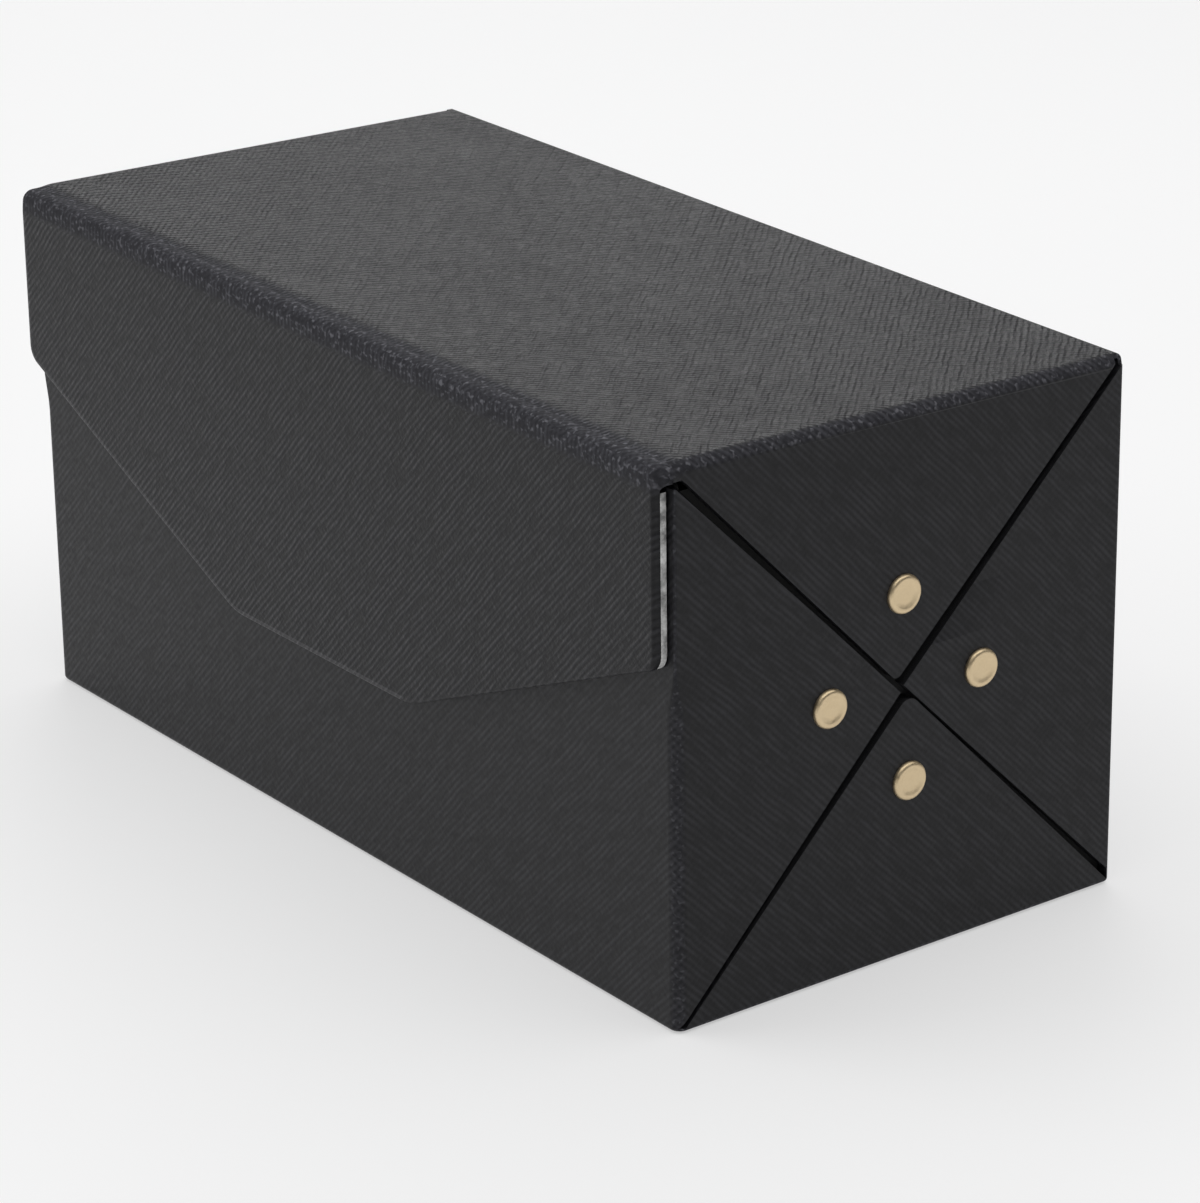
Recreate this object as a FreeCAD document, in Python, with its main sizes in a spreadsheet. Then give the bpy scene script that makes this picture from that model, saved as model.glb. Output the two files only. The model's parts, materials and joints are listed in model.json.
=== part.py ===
import FreeCAD, Part
import os
import re
import Sketcher
from math import cos, radians, sin

# A rigid storage box of board covered in grained leatherette. Its lid carries a pointed
# front flap, and each end is closed by four triangles that are folded round from the
# floor, the two long walls and the lid, with a brass rivet in each.
# Millimetres. X runs along the box, -Y is the front, +Z is up, and the origin is the
# middle of the underside.

doc = FreeCAD.newDocument("storage_box")

SIZES = {
    # The closed box, over its covers
    "length": (200, "end to end"),
    "depth": (98, "front wall to back wall"),
    "height": (100, "floor to the lid's back edge"),
    # Sheet and board
    "cover": (0.8, "thickness of the leatherette"),
    "board": (2.0, "thickness of the walls, floor and lid"),
    "fold_board": (1.5, "thickness of the triangles' boards"),
    "lining": (0.5, "thickness of the inside lining"),
    "sole": (0.2, "thickness of the sheet under the floor"),
    "sole_margin": (4.0, "from the sole's edge to the wall's face"),
    # Folds of the cover, as outer radii
    "soft_fold": (2.2, "down the front corners and along the lid's ends"),
    "crisp_fold": (0.9, "round the floor and up the back corners"),
    # End triangles
    "seam": (0.9, "width of the slit between two triangles, where they are folded true"),
    "swing_gap": (0.3, "behind the lid's triangles, which slide past the end board"),
    "tip_nip": (1.0, "rounding beside the front triangles' top corner"),
    "low_nip": (2.4, "rounding of the floor triangles' point"),
    "lid_nip": (1.3, "rounding of the lid triangles' point"),
    # How far each triangle is folded out of true
    "front_drop": (0.3, "front triangles' top corners, downwards"),
    "front_spread": (0.4, "front triangles' lower corners, downwards"),
    "floor_lean": (1.3, "floor triangles' points, towards the back"),
    "floor_shift": (0.3, "floor triangles' front corners, towards the back"),
    "floor_spread": (0.9, "floor triangles' back corners, towards the back"),
    "back_lean": (0.6, "back triangles' points, towards the front"),
    "back_rise": (1.2, "back triangles' points, upwards"),
    "back_lift": (1.7, "back triangles' lower corners, upwards"),
    "back_drop": (0.7, "back triangles' top corners, downwards"),
    "lid_lean": (0.4, "lid triangles' points, towards the front"),
    "lid_rise": (0.5, "lid triangles' points, upwards"),
    "lid_spread": (2.0, "lid triangles' front corners, towards the front"),
    # Lid
    "lid_tilt": (1.41, "degrees that the lid lies open on the front wall's edge"),
    "lid_gap": (0.3, "between the lid's lining and the wall edges below it"),
    "lid_tip": (3.0, "depth of the lid's front corners, beside the flap's roll"),
    "hinge_radius": (1.0, "outer radius of the fold that hinges the lid"),
    "hinge_land": (1.0, "flat of that fold on each side of the bend"),
    "strip_radius": (1.5, "outer radius of the lining that bends inside that fold"),
    "strip_land": (1.0, "flat of that lining on each side of its bend"),
    "turn_in": (12.0, "depth of the cover that is turned in over the front wall"),
    "edge_nip": (1.2, "rounding of the front wall's top corners"),
    # Flap
    "flap_card": (0.7, "thickness of the flap's stiffener"),
    "flap_lining": (1.2, "thickness of the flap's pale-cored lining"),
    "flap_gap": (0.3, "between the flap's lining and the front wall"),
    "flap_margin": (0.2, "from the flap's edge to the edge of its lining"),
    "flap_inset": (1.6, "how much narrower the flap is than the box, at each end"),
    "flap_shift": (1.2, "how far the flap sits to the left of the middle"),
    "flap_side": (34.0, "lid top to the flap's left side corner"),
    "flap_skew": (2.0, "how much lower its right side corner is cut"),
    "flap_drop": (65.4, "lid top to the flap's lower edge"),
    "flap_base": (56.0, "width of the flap's lower edge"),
    "flap_corner": (4.0, "radius of the side corners"),
    "flap_point": (12.0, "radius of the lower corners"),
    "flap_fold": (0.7, "rounding of the cover round the flap's edge"),
    "roll_radius": (2.4, "outer radius of the soft roll that hinges the flap"),
    "roll_land": (0.6, "flat of the roll on the lid"),
    "roll_drop": (2.8, "flat of the roll above the flap's stiffener"),
    # Rivets
    "rivet_reach": (16.8, "from the middle of the rivets' cross to each rivet"),
    "rivet_shift": (0.5, "middle of that cross, behind the end's centre"),
    "front_rivet_rise": (1.2, "front rivets, above the middle"),
    "floor_rivet_shift": (0.9, "floor rivets, behind the middle of the cross"),
    "rivet_head": (7.1, "diameter of the caps"),
    "rivet_rise": (0.9, "height of the outer caps"),
    "rivet_rim": (1.0, "width of the rolled rim"),
    "rivet_bevel": (0.4, "fall of the rim to the cap's side"),
    "rivet_dish": (0.25, "depth of the dish inside the rim"),
    "rivet_back": (0.6, "height of the inner caps"),
    "rivet_shank": (2.6, "diameter of the posts"),
    "rivet_play": (0.1, "clearance round a post"),
    # Closing magnets
    "magnet_width": (12.0, "along the box"),
    "magnet_height": (6.0, "up the wall"),
    "magnet_depth": (1.0, "thickness of the wall's magnets"),
    "magnet_play": (0.1, "clearance round a magnet"),
    "magnet_reach": (24.0, "from the middle of the box to each magnet"),
    "magnet_rise": (7.0, "flap's lower edge to each magnet's centre"),
}

sheet = doc.addObject("Spreadsheet::Sheet", "Sizes")
for row, (name, (value, note)) in enumerate(SIZES.items(), start=1):
    sheet.set(f"A{row}", note)
    sheet.set(f"B{row}", str(value))
    sheet.setAlias(f"B{row}", name)
doc.recompute()


def bound(formula):
    """A formula of size names as an expression that reads the sheet."""
    return re.sub(r"[a-z_]+", lambda word: f"Sizes.{word[0]}" if word[0] in SIZES else word[0], formula)


def value(formula):
    """What a formula of size names comes to."""
    return float(sheet.evalExpression(re.sub(r"Sizes\.", "", bound(formula))))


# Planes that several pieces share, as formulas of the sizes. The lid and the flap are drawn
# as if the lid were shut flat, and their placements then open it by lid_tilt.
END = "length / 2"
END_CARD = f"({END} - cover)"                # outer face of the triangles' boards
END_BOARD = f"({END_CARD} - fold_board)"     # outer face of the end boards
END_LINING = f"({END_BOARD} - board)"        # outer face of the end linings
END_INSIDE = f"({END_LINING} - lining)"
WALL = "depth / 2"
WALL_BOARD = f"({WALL} - cover)"
WALL_LINING = f"({WALL_BOARD} - board)"
WALL_INSIDE = f"({WALL_LINING} - lining)"
FLOOR_COVER = "sole"
FLOOR_BOARD = "(sole + cover)"
FLOOR_LINING = f"({FLOOR_BOARD} + board)"
FLOOR_INSIDE = f"({FLOOR_LINING} + lining)"
LID_BOARD = "(height - cover)"               # top face of the lid's board
LID_LINING = f"({LID_BOARD} - board)"
LID_INSIDE = f"({LID_LINING} - lining)"
RIM = f"({LID_INSIDE} - lid_gap)"            # top of the back and end boards
HINGE_Y = f"({WALL} - hinge_radius)"
HINGE_Z = "(height - hinge_radius)"
BACK_TOP = f"({HINGE_Z} - hinge_land)"
FLAP_FACE = f"(-{WALL} - flap_gap - flap_lining - flap_card - cover)"
FLAP_CARD = f"({FLAP_FACE} + cover)"         # front face of the stiffener
FLAP_LINING = f"({FLAP_CARD} + flap_card)"
ROLL_Y = f"({FLAP_FACE} + roll_radius)"
ROLL_Z = "(height - roll_radius)"
FLAP_TOP = f"({ROLL_Z} - roll_drop)"
LID_FRONT = f"({ROLL_Y} + roll_land)"
LID_BACK = f"({HINGE_Y} - hinge_land)"
LID_BOARD_FRONT = f"(-{WALL_LINING} - lid_gap)"

# The strip of lining that crosses the back hinge inside the box
STRIP_Y = f"({WALL_LINING} - strip_radius)"
STRIP_Z = f"({LID_LINING} - strip_radius)"
STRIP_LOW = f"({STRIP_Z} - strip_land)"

# The front wall is as high as the open lid lets it be where its board meets the lid's lining.
FRONT_TOP = (
    f"({HINGE_Z} + ({HINGE_Y} + {WALL_LINING}) * sin(lid_tilt)"
    f" - ({HINGE_Z} - {LID_INSIDE}) * cos(lid_tilt) - lid_gap)"
)
FRONT_BOARD_TOP = f"({FRONT_TOP} - cover)"

TILT = "rotation(vector(1; 0; 0); -lid_tilt)"
LID_PLACE = f"placement(vector(0; 0; 0); {TILT}; vector(0; {HINGE_Y}; {HINGE_Z}))"
ROLL_ARM = f"vector(0; {ROLL_Y} - {HINGE_Y}; {ROLL_Z} - {HINGE_Z})"
FLAP_MOVE = f"{TILT} * {ROLL_ARM} - {ROLL_ARM} - vector(flap_shift; 0; 0)"
FLAP_PLACE = f"placement({FLAP_MOVE}; rotation(vector(1; 0; 0); 0))"
BOX_PLACE = None

# How far that turn carries the flap, and where its magnets meet those of the wall
FLAP_SHIFT = f"(({ROLL_Y} - {HINGE_Y}) * (cos(lid_tilt) - 1) + ({ROLL_Z} - {HINGE_Z}) * sin(lid_tilt))"
FLAP_LIFT = f"(({HINGE_Y} - {ROLL_Y}) * sin(lid_tilt) + ({ROLL_Z} - {HINGE_Z}) * (cos(lid_tilt) - 1))"
FLAP_HALF = f"({END} - flap_inset)"
FLAP_MAGNET_Z = "(height - flap_drop + magnet_rise)"
MAGNET_Z = f"({FLAP_MAGNET_Z} + {FLAP_LIFT})"

pieces = {}


# ---------------------------------------------------------------- ways of making a piece
def new_body(name, place=BOX_PLACE):
    """A body for one piece. Place is an expression, or None where it is drawn in its place."""
    body = doc.addObject("PartDesign::Body", name)
    body.Label = name
    if place:
        body.setExpression("Placement", bound(place))
    pieces[name] = body
    return body


def new_sketch(body, plane, offset):
    """An empty sketch on one of the body's origin planes, moved along its normal."""
    sketch = body.newObject("Sketcher::SketchObject", f"{body.Name}_sketch")
    origin_plane = next(f for f in body.Origin.OriginFeatures if f.Role == plane)
    sketch.AttachmentSupport = [(origin_plane, "")]
    sketch.MapMode = "FlatFace"
    sketch.setExpression("AttachmentOffset.Base.z", bound(offset))
    return sketch


def draw_outline(sketch, corners):
    """A closed polygon whose corners are pairs of formulas."""
    points = [FreeCAD.Vector(value(a), value(b), 0) for a, b in corners]
    first = sketch.GeometryCount
    count = len(points)
    for i, point in enumerate(points):
        sketch.addGeometry(Part.LineSegment(point, points[(i + 1) % count]), False)
    for i in range(count):
        sketch.addConstraint(
            Sketcher.Constraint("Coincident", first + i, 2, first + (i + 1) % count, 1)
        )
    for i, (point, formulas) in enumerate(zip(points, corners)):
        for kind, place, formula in zip(("DistanceX", "DistanceY"), point, formulas):
            index = sketch.addConstraint(Sketcher.Constraint(kind, -1, 1, first + i, 1, place))
            sketch.setExpression(f"Constraints[{index}]", bound(formula))


def draw_circle(sketch, centre, diameter):
    """A circle about a pair of formulas."""
    middle = FreeCAD.Vector(value(centre[0]), value(centre[1]), 0)
    circle = Part.Circle(middle, FreeCAD.Vector(0, 0, 1), value(diameter) / 2)
    number = sketch.addGeometry(circle, False)
    for kind, place, formula in zip(("DistanceX", "DistanceY"), middle, centre):
        index = sketch.addConstraint(Sketcher.Constraint(kind, -1, 1, number, 3, place))
        sketch.setExpression(f"Constraints[{index}]", bound(formula))
    index = sketch.addConstraint(Sketcher.Constraint("Diameter", number, value(diameter)))
    sketch.setExpression(f"Constraints[{index}]", bound(diameter))


def extrude(body, kind, sketch, depth, both_ways=False, back=False):
    """A pad or pocket of a sketch. Both_ways spreads the depth evenly about its plane."""
    feature = body.newObject(f"PartDesign::{kind}", f"{body.Name}_{kind.lower()}")
    feature.Profile = sketch
    feature.SideType = "Symmetric" if both_ways else "One side"
    feature.Reversed = back
    feature.setExpression("Length", bound(depth))
    before = body.Shape.Volume if kind == "Pocket" else 0
    doc.recompute()
    if kind == "Pocket" and not body.Shape.Volume < before:
        raise RuntimeError(f"{feature.Name} cuts nothing")
    return feature


def add_block(body, plane, corners, start, depth, **how):
    """Material from an outline."""
    sketch = new_sketch(body, plane, start)
    draw_outline(sketch, corners)
    return extrude(body, "Pad", sketch, depth, **how)


def cut_block(body, plane, outlines, start, depth, **how):
    """A hollow from one or more outlines."""
    sketch = new_sketch(body, plane, start)
    for corners in outlines:
        draw_outline(sketch, corners)
    return extrude(body, "Pocket", sketch, depth, **how)


def cut_holes(body, plane, centres, diameter, start, depth, **how):
    """Round holes about the given centres."""
    sketch = new_sketch(body, plane, start)
    for centre in centres:
        draw_circle(sketch, centre, diameter)
    return extrude(body, "Pocket", sketch, depth, **how)


def near(a, b, slack=0.05):
    """Two places that are the same within the drawing's slack."""
    return abs(a - b) < slack


def is_straight(edge):
    """Whether an edge is as long as the way between its two ends."""
    ends = [vertex.Point for vertex in edge.Vertexes]
    return len(ends) == 2 and near(edge.Length, ends[0].distanceToPoint(ends[1]), 1e-6)


def round_edges(body, radius, wanted):
    """A fillet on each edge of the body whose middle and direction pass the test."""
    solid = body.Tip
    chosen = []
    for number, edge in enumerate(solid.Shape.Edges, start=1):
        if is_straight(edge) and wanted(edge.CenterOfMass, edge.tangentAt(edge.FirstParameter)):
            chosen.append(f"Edge{number}")
    fillet = body.newObject("PartDesign::Fillet", f"{body.Name}_fillet")
    fillet.Base = (solid, chosen)
    fillet.setExpression("Radius", bound(radius))
    doc.recompute()
    if not chosen or "Invalid" in fillet.State:
        raise RuntimeError(f"{fillet.Name} rounds nothing")


def plate(name, x_range, y_range, z_range, place=BOX_PLACE):
    """A flat rectangular sheet or board."""
    body = new_body(name, place)
    (x0, x1), (y0, y1), (z0, z1) = x_range, y_range, z_range
    corners = ((x0, y0), (x1, y0), (x1, y1), (x0, y1))
    add_block(body, "XY_Plane", corners, z0, f"{z1} - {z0}")
    return body


def bent_strip(name, axis, outer, thick, turn, lands, half_length, aside="0"):
    """A strip of sheet along X, bent about an axis in Y and Z from one angle round to another,
    with a flat land before and after the bend, and perhaps set aside to the left. It gives way
    when its hinge moves."""
    centre = FreeCAD.Vector(0, value(axis[0]), value(axis[1]))

    def spot(radius, angle, along=0.0):
        away = FreeCAD.Vector(0, cos(radians(angle)), sin(radians(angle)))
        onward = FreeCAD.Vector(0, sin(radians(angle)), -cos(radians(angle)))
        return centre + away * radius + onward * along

    start, end = (value(angle) for angle in turn)
    before, after = (value(land) for land in lands)
    big, small = value(outer), value(outer) - value(thick)
    middle = (start + end) / 2
    outside = Part.Arc(spot(big, start), spot(big, middle), spot(big, end)).toShape()
    inside = Part.Arc(spot(small, end), spot(small, middle), spot(small, start)).toShape()
    head = [spot(small, start), spot(small, start, -before), spot(big, start, -before), spot(big, start)]
    tail = [spot(big, end), spot(big, end, after), spot(small, end, after), spot(small, end)]
    edges = [Part.makeLine(a, b) for a, b in zip(head, head[1:])] + [outside]
    edges += [Part.makeLine(a, b) for a, b in zip(tail, tail[1:])] + [inside]
    strip = doc.addObject("Part::Feature", name)
    strip.Label = name
    strip.Shape = Part.Face(Part.Wire(edges)).extrude(FreeCAD.Vector(2 * value(half_length), 0, 0))
    strip.Placement.Base = FreeCAD.Vector(-value(half_length) - value(aside), 0, 0)
    pieces[name] = strip


# ------------------------------------------------------------------- the end triangles
# How far each triangle is folded out of true: its point outwards and across, then its two
# base corners across. Across is upwards on the front and back ones, and backwards on the
# floor's and the lid's.
ASKEW = {
    "front": ("0", "0", "-front_spread", "-front_drop"),
    "back": ("-back_lean", "back_rise", "back_lift", "-back_drop"),
    "floor": ("0", "floor_lean", "floor_shift", "floor_spread"),
    "lid": ("lid_rise", "-lid_lean", "-lid_spread", "0"),
}


def triangle(side, inset, rim):
    """Point and two base corners, as (y, z), of one end triangle. Its sloping edges lie an
    inset inside the seams' centre lines, and its base a rim inside the wall's outer face."""
    reach, across = ("height / 2", WALL) if side in ("floor", "lid") else (WALL, "height / 2")
    slope = f"sqrt(({reach})^2 + ({across})^2)"
    rise, lean, *shifts = ASKEW[side]
    point = f"(({inset}) * {slope} / ({across}) + {rise})"
    half = f"({across} - ({inset}) * {slope} / ({reach}))"
    base = f"({reach} - ({rim}))"
    share = f"({base} - {point}) / ({reach} - {point})"
    spots = [(point, lean)]
    for sign, shift in zip(("-1", "1"), shifts):
        spots.append((base, f"{lean} + ({sign} * {half} + {shift} - ({lean})) * {share}"))
    if side in ("front", "back"):
        outward = "-" if side == "front" else ""
        return [(f"{outward}{out}", f"height / 2 + {along}") for out, along in spots]
    outward = "-" if side == "floor" else "+"
    return [(along, f"height / 2 {outward} {out}") for out, along in spots]


def on_edge(point, corner, level):
    """Where the straight edge from a triangle's point to a corner passes a level, as (y, z)."""
    (y, z), (corner_y, corner_z) = point, corner
    run = f"(({corner_y}) - ({y})) / (({corner_z}) - ({z}))"
    return f"{y} + ({level} - ({z})) * {run}", level


FIXED_SIDES = ("front", "floor", "back")
RIVET_SPOTS = {
    "front": ("rivet_shift - rivet_reach", "height / 2 + front_rivet_rise"),
    "floor": ("rivet_shift + floor_rivet_shift", "height / 2 - rivet_reach"),
    "back": ("rivet_shift + rivet_reach", "height / 2"),
    "lid": ("rivet_shift", "height / 2 + rivet_reach"),
}
FIXED_SPOTS = [RIVET_SPOTS[side] for side in FIXED_SIDES]
HOLE = "(rivet_shank + 2 * rivet_play)"
HALF_SEAM = "(seam / 2)"
CARD_INSET = "(seam / 2 + cover)"
CARD_RIM = {
    "front": "cover + board",
    "back": "cover + board",
    "floor": "sole + cover + board",
    "lid": "cover + board",
}
POINT_NIP = {"floor": "low_nip", "lid": "lid_nip"}    # the points that are rounded
HANDS = {"left": -1, "right": 1}


def round_point(body, radius, corner):
    """Round the edge that runs along X through a corner, as a pair of formulas."""
    y, z = (value(formula) for formula in corner)
    round_edges(body, radius, lambda c, t: near(abs(t.x), 1) and near(c.y, y) and near(c.z, z))


def triangle_board(hand, side, thick, place=BOX_PLACE):
    """The board inside one triangle, with its rivet's hole."""
    body = new_body(f"{hand}_{side}_triangle_board", place)
    back = hand == "left"
    start = f"{HANDS[hand]} * ({END_CARD} - {thick})"
    corners = triangle(side, CARD_INSET, CARD_RIM[side])
    add_block(body, "YZ_Plane", corners, start, thick, back=back)
    if side in POINT_NIP:
        round_point(body, f"{POINT_NIP[side]} - cover", corners[0])
    cut_holes(body, "YZ_Plane", [RIVET_SPOTS[side]], HOLE, "0", "length", both_ways=True)
    return body


# ----------------------------------------------------------------------- the lower box
def lower_boards():
    """Floor, two long walls and two end boards, standing edge to face."""
    inner_x = (f"-{END_BOARD}", END_BOARD)
    inner_y = (f"-{WALL_LINING}", WALL_LINING)
    plate("floor_board", inner_x, inner_y, (FLOOR_BOARD, FLOOR_LINING))
    plate("back_board", inner_x, (WALL_LINING, WALL_BOARD), (FLOOR_BOARD, RIM))
    front = plate(
        "front_board", inner_x, (f"-{WALL_BOARD}", f"-{WALL_LINING}"), (FLOOR_BOARD, FRONT_BOARD_TOP)
    )
    top = value(FRONT_BOARD_TOP)
    end = value(END_BOARD)
    round_edges(front, "edge_nip", lambda c, t: near(c.z, top) and near(abs(c.x), end))
    cut_block(front, "XZ_Plane", magnet_outlines(MAGNET_Z, "magnet_play"), WALL_BOARD, "magnet_depth")
    for hand, sign in HANDS.items():
        x_range = sorted((f"{sign} * {END_BOARD}", f"{sign} * {END_LINING}"), key=value)
        body = plate(f"{hand}_end_board", x_range, inner_y, (FLOOR_LINING, RIM))
        cut_holes(body, "YZ_Plane", FIXED_SPOTS, HOLE, "0", "length", both_ways=True)


def lower_linings():
    """The inside paper, laid after the boards, and the sheet under the floor."""
    inner_y = (f"-{WALL_LINING}", WALL_LINING)
    long_x = (f"-{END_LINING}", END_LINING)
    plate("floor_lining", long_x, inner_y, (FLOOR_LINING, FLOOR_INSIDE))
    front_top = f"({FRONT_BOARD_TOP} - turn_in)"
    plate("front_lining", long_x, (f"-{WALL_LINING}", f"-{WALL_INSIDE}"), (FLOOR_INSIDE, front_top))
    plate("back_lining", long_x, (WALL_INSIDE, WALL_LINING), (FLOOR_INSIDE, STRIP_LOW))
    for hand, sign in HANDS.items():
        x_range = sorted((f"{sign} * {END_LINING}", f"{sign} * {END_INSIDE}"), key=value)
        y_range = (f"-{WALL_LINING} + cover", WALL_INSIDE)
        body = plate(f"{hand}_end_lining", x_range, y_range, (FLOOR_INSIDE, RIM))
        cut_holes(body, "YZ_Plane", FIXED_SPOTS, HOLE, "0", "length", both_ways=True)
    edge_x = f"({END} - sole_margin)"
    edge_y = f"({WALL} - sole_margin)"
    plate("sole_sheet", (f"-{edge_x}", edge_x), (f"-{edge_y}", edge_y), ("0", "sole"))


def lower_cover():
    """One sheet of leatherette round the front, floor and back, folded on to the ends as
    three triangles whose free edges are turned in round their boards."""
    body = new_body("body_cover")
    add_block(
        body,
        "XY_Plane",
        ((f"-{END}", f"-{WALL}"), (END, f"-{WALL}"), (END, WALL), (f"-{END}", WALL)),
        FLOOR_COVER,
        f"{FRONT_TOP} - {FLOOR_COVER}",
    )
    end, wall, low = value(END), value(WALL), value(FLOOR_COVER)
    round_edges(
        body, "soft_fold", lambda c, t: near(abs(c.x), end) and near(c.y, -wall) and near(abs(t.z), 1)
    )
    round_edges(
        body,
        "crisp_fold",
        lambda c, t: near(c.z, low) or (near(abs(c.x), end) and near(c.y, wall) and near(abs(t.z), 1)),
    )
    # The hollow for the boards, and the three boards' places in each end
    hollow = (
        (f"-{END_BOARD}", f"-{WALL_BOARD}"),
        (END_BOARD, f"-{WALL_BOARD}"),
        (END_BOARD, WALL_BOARD),
        (f"-{END_BOARD}", WALL_BOARD),
    )
    cut_block(body, "XY_Plane", [hollow], FLOOR_BOARD, "height", back=True)
    rims = {"front": "cover", "back": "cover", "floor": FLOOR_BOARD}
    beds = [triangle(side, CARD_INSET, rims[side]) for side in FIXED_SIDES]
    cut_block(body, "YZ_Plane", beds, "0", f"2 * {END_CARD}", both_ways=True)
    floor_bed = beds[FIXED_SIDES.index("floor")]
    round_point(body, "low_nip - cover", floor_bed[0])
    # The slits, and all that the lid's triangle closes
    front, floor, back = (triangle(side, HALF_SEAM, "cover") for side in FIXED_SIDES)
    above = "(2 * height)"
    slits = (
        front[2], front[0], front[1], floor[1], floor[0], floor[2], back[1], back[0], back[2],
        (WALL_BOARD, above), (f"-{WALL_BOARD}", above),
    )
    cut_block(body, "YZ_Plane", [slits], "0", "2 * length", both_ways=True)
    back_edge = (
        ("0", BACK_TOP),
        (f"2 * {WALL}", BACK_TOP),
        (f"2 * {WALL}", above),
        ("0", above),
    )
    cut_block(body, "YZ_Plane", [back_edge], "0", "2 * length", both_ways=True)
    wall_end, rim_z = value(END_BOARD), value(FRONT_TOP)
    # The front triangles stop short of the corner, below the roll of the flap
    tip = f"({FRONT_TOP} - edge_nip)"
    above_tip = (("-depth", tip), ("0", tip), ("0", above), ("-depth", above))
    for sign in HANDS.values():
        cut_block(body, "YZ_Plane", [above_tip], f"{sign} * {END_BOARD}", "length", back=sign > 0)
    round_edges(body, "crisp_fold", lambda c, t: near(abs(c.x), wall_end) and near(c.z, rim_z))
    round_point(body, "tip_nip", on_edge(front[0], front[2], tip))
    round_point(body, "low_nip", floor[0])
    # The front edge, turned in over the board and down inside
    inner = f"({WALL_LINING} - cover)"
    lip = (
        (f"-{WALL_BOARD}", FRONT_TOP),
        (f"-{WALL_BOARD}", FRONT_BOARD_TOP),
        (f"-{WALL_LINING}", FRONT_BOARD_TOP),
        (f"-{WALL_LINING}", f"{FRONT_BOARD_TOP} - turn_in"),
        (f"-{inner}", f"{FRONT_BOARD_TOP} - turn_in"),
        (f"-{inner}", FRONT_TOP),
    )
    add_block(body, "YZ_Plane", lip, "0", f"2 * {END_LINING}", both_ways=True)
    cut_holes(body, "YZ_Plane", FIXED_SPOTS, HOLE, "0", "2 * length", both_ways=True)


# ------------------------------------------------------------------------------ the lid
LID_FOLD_BOARD = "(fold_board - swing_gap)"
LID_TAIL = f"({END_CARD} - {LID_FOLD_BOARD})"    # inner face of the lid's triangles
LID_SOCKET = f"({LID_TAIL} + rivet_back)"        # floor of the recess for a rivet's inner cap


def lid_boards():
    """Board and lining of the lid, and the boards of its two triangles."""
    x_range = (f"-{END_BOARD}", END_BOARD)
    lining_back = f"({STRIP_Y} - strip_land - lid_gap)"
    plate("lid_board", x_range, (LID_BOARD_FRONT, LID_BACK), (LID_LINING, LID_BOARD), LID_PLACE)
    plate("lid_lining", x_range, (LID_BOARD_FRONT, lining_back), (LID_INSIDE, LID_LINING), LID_PLACE)
    recess = "(rivet_head + 2 * rivet_play)"
    for hand, sign in HANDS.items():
        body = triangle_board(hand, "lid", LID_FOLD_BOARD, LID_PLACE)
        start = f"{sign} * {LID_SOCKET}"
        cut_holes(body, "YZ_Plane", [RIVET_SPOTS["lid"]], recess, start, "board", back=sign < 0)


def lid_cover():
    """One sheet over the lid, folded down at each end as a triangle with turned edges."""
    body = new_body("lid_cover", LID_PLACE)
    corners = ((f"-{END}", LID_FRONT), (END, LID_FRONT), (END, LID_BACK), (f"-{END}", LID_BACK))
    add_block(body, "XY_Plane", corners, "height / 2", "height / 2")
    end, top = value(END), value("height")
    round_edges(body, "soft_fold", lambda c, t: near(abs(c.x), end) and near(c.z, top))
    hollow = (
        (f"-{LID_TAIL}", "-depth"), (LID_TAIL, "-depth"), (LID_TAIL, "depth"), (f"-{LID_TAIL}", "depth"),
    )
    cut_block(body, "XY_Plane", [hollow], LID_BOARD, "height")
    bed = triangle("lid", CARD_INSET, "cover")
    cut_block(body, "YZ_Plane", [bed], "0", f"2 * {END_CARD}", both_ways=True)
    round_point(body, "lid_nip - cover", bed[0])
    point, left, right = triangle("lid", HALF_SEAM, "cover")
    tip = "(height - lid_tip)"
    below = (
        ("-depth", tip), on_edge(point, left, tip), point, right,
        ("depth", LID_BOARD), ("depth", "0"), ("-depth", "0"),
    )
    cut_block(body, "YZ_Plane", [below], "0", "2 * length", both_ways=True)
    round_point(body, "lid_nip", point)
    cut_holes(body, "YZ_Plane", [RIVET_SPOTS["lid"]], HOLE, "0", "2 * length", both_ways=True)


# ----------------------------------------------------------------------------- the flap
def flap_outline(inset):
    """The flap's corners as (x, z), an inset inside its edge. The top stays where it is."""
    run = f"({FLAP_HALF} - flap_base / 2)"
    side_x = f"({FLAP_HALF} - ({inset}))"
    base_z = f"(height - flap_drop + ({inset}))"
    halves = []
    for hand, side in (("-1", "flap_side"), ("1", "(flap_side + flap_skew)")):
        angle = f"atan((flap_drop - {side}) / {run})"
        side_z = f"(height - {side} + ({inset}) * tan(45 deg - {angle} / 2))"
        base_x = f"(flap_base / 2 - ({inset}) * tan({angle} / 2))"
        edge = f"{hand} * {side_x}"
        halves.append(((edge, FLAP_TOP), (edge, side_z), (f"{hand} * {base_x}", base_z)))
    left, right = halves
    return left + right[::-1]


def round_flap(body, inset):
    """Round the four lower corners of a flap layer, each as far inside as the layer is."""
    _, left, foot, _, right, _ = flap_outline(inset)
    for radius, corner in (("flap_corner", left), ("flap_corner", right), ("flap_point", foot)):
        level = value(corner[1])
        round_edges(
            body,
            f"{radius} - ({inset})",
            lambda c, t, level=level: near(abs(t.y), 1) and near(c.z, level),
        )


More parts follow.
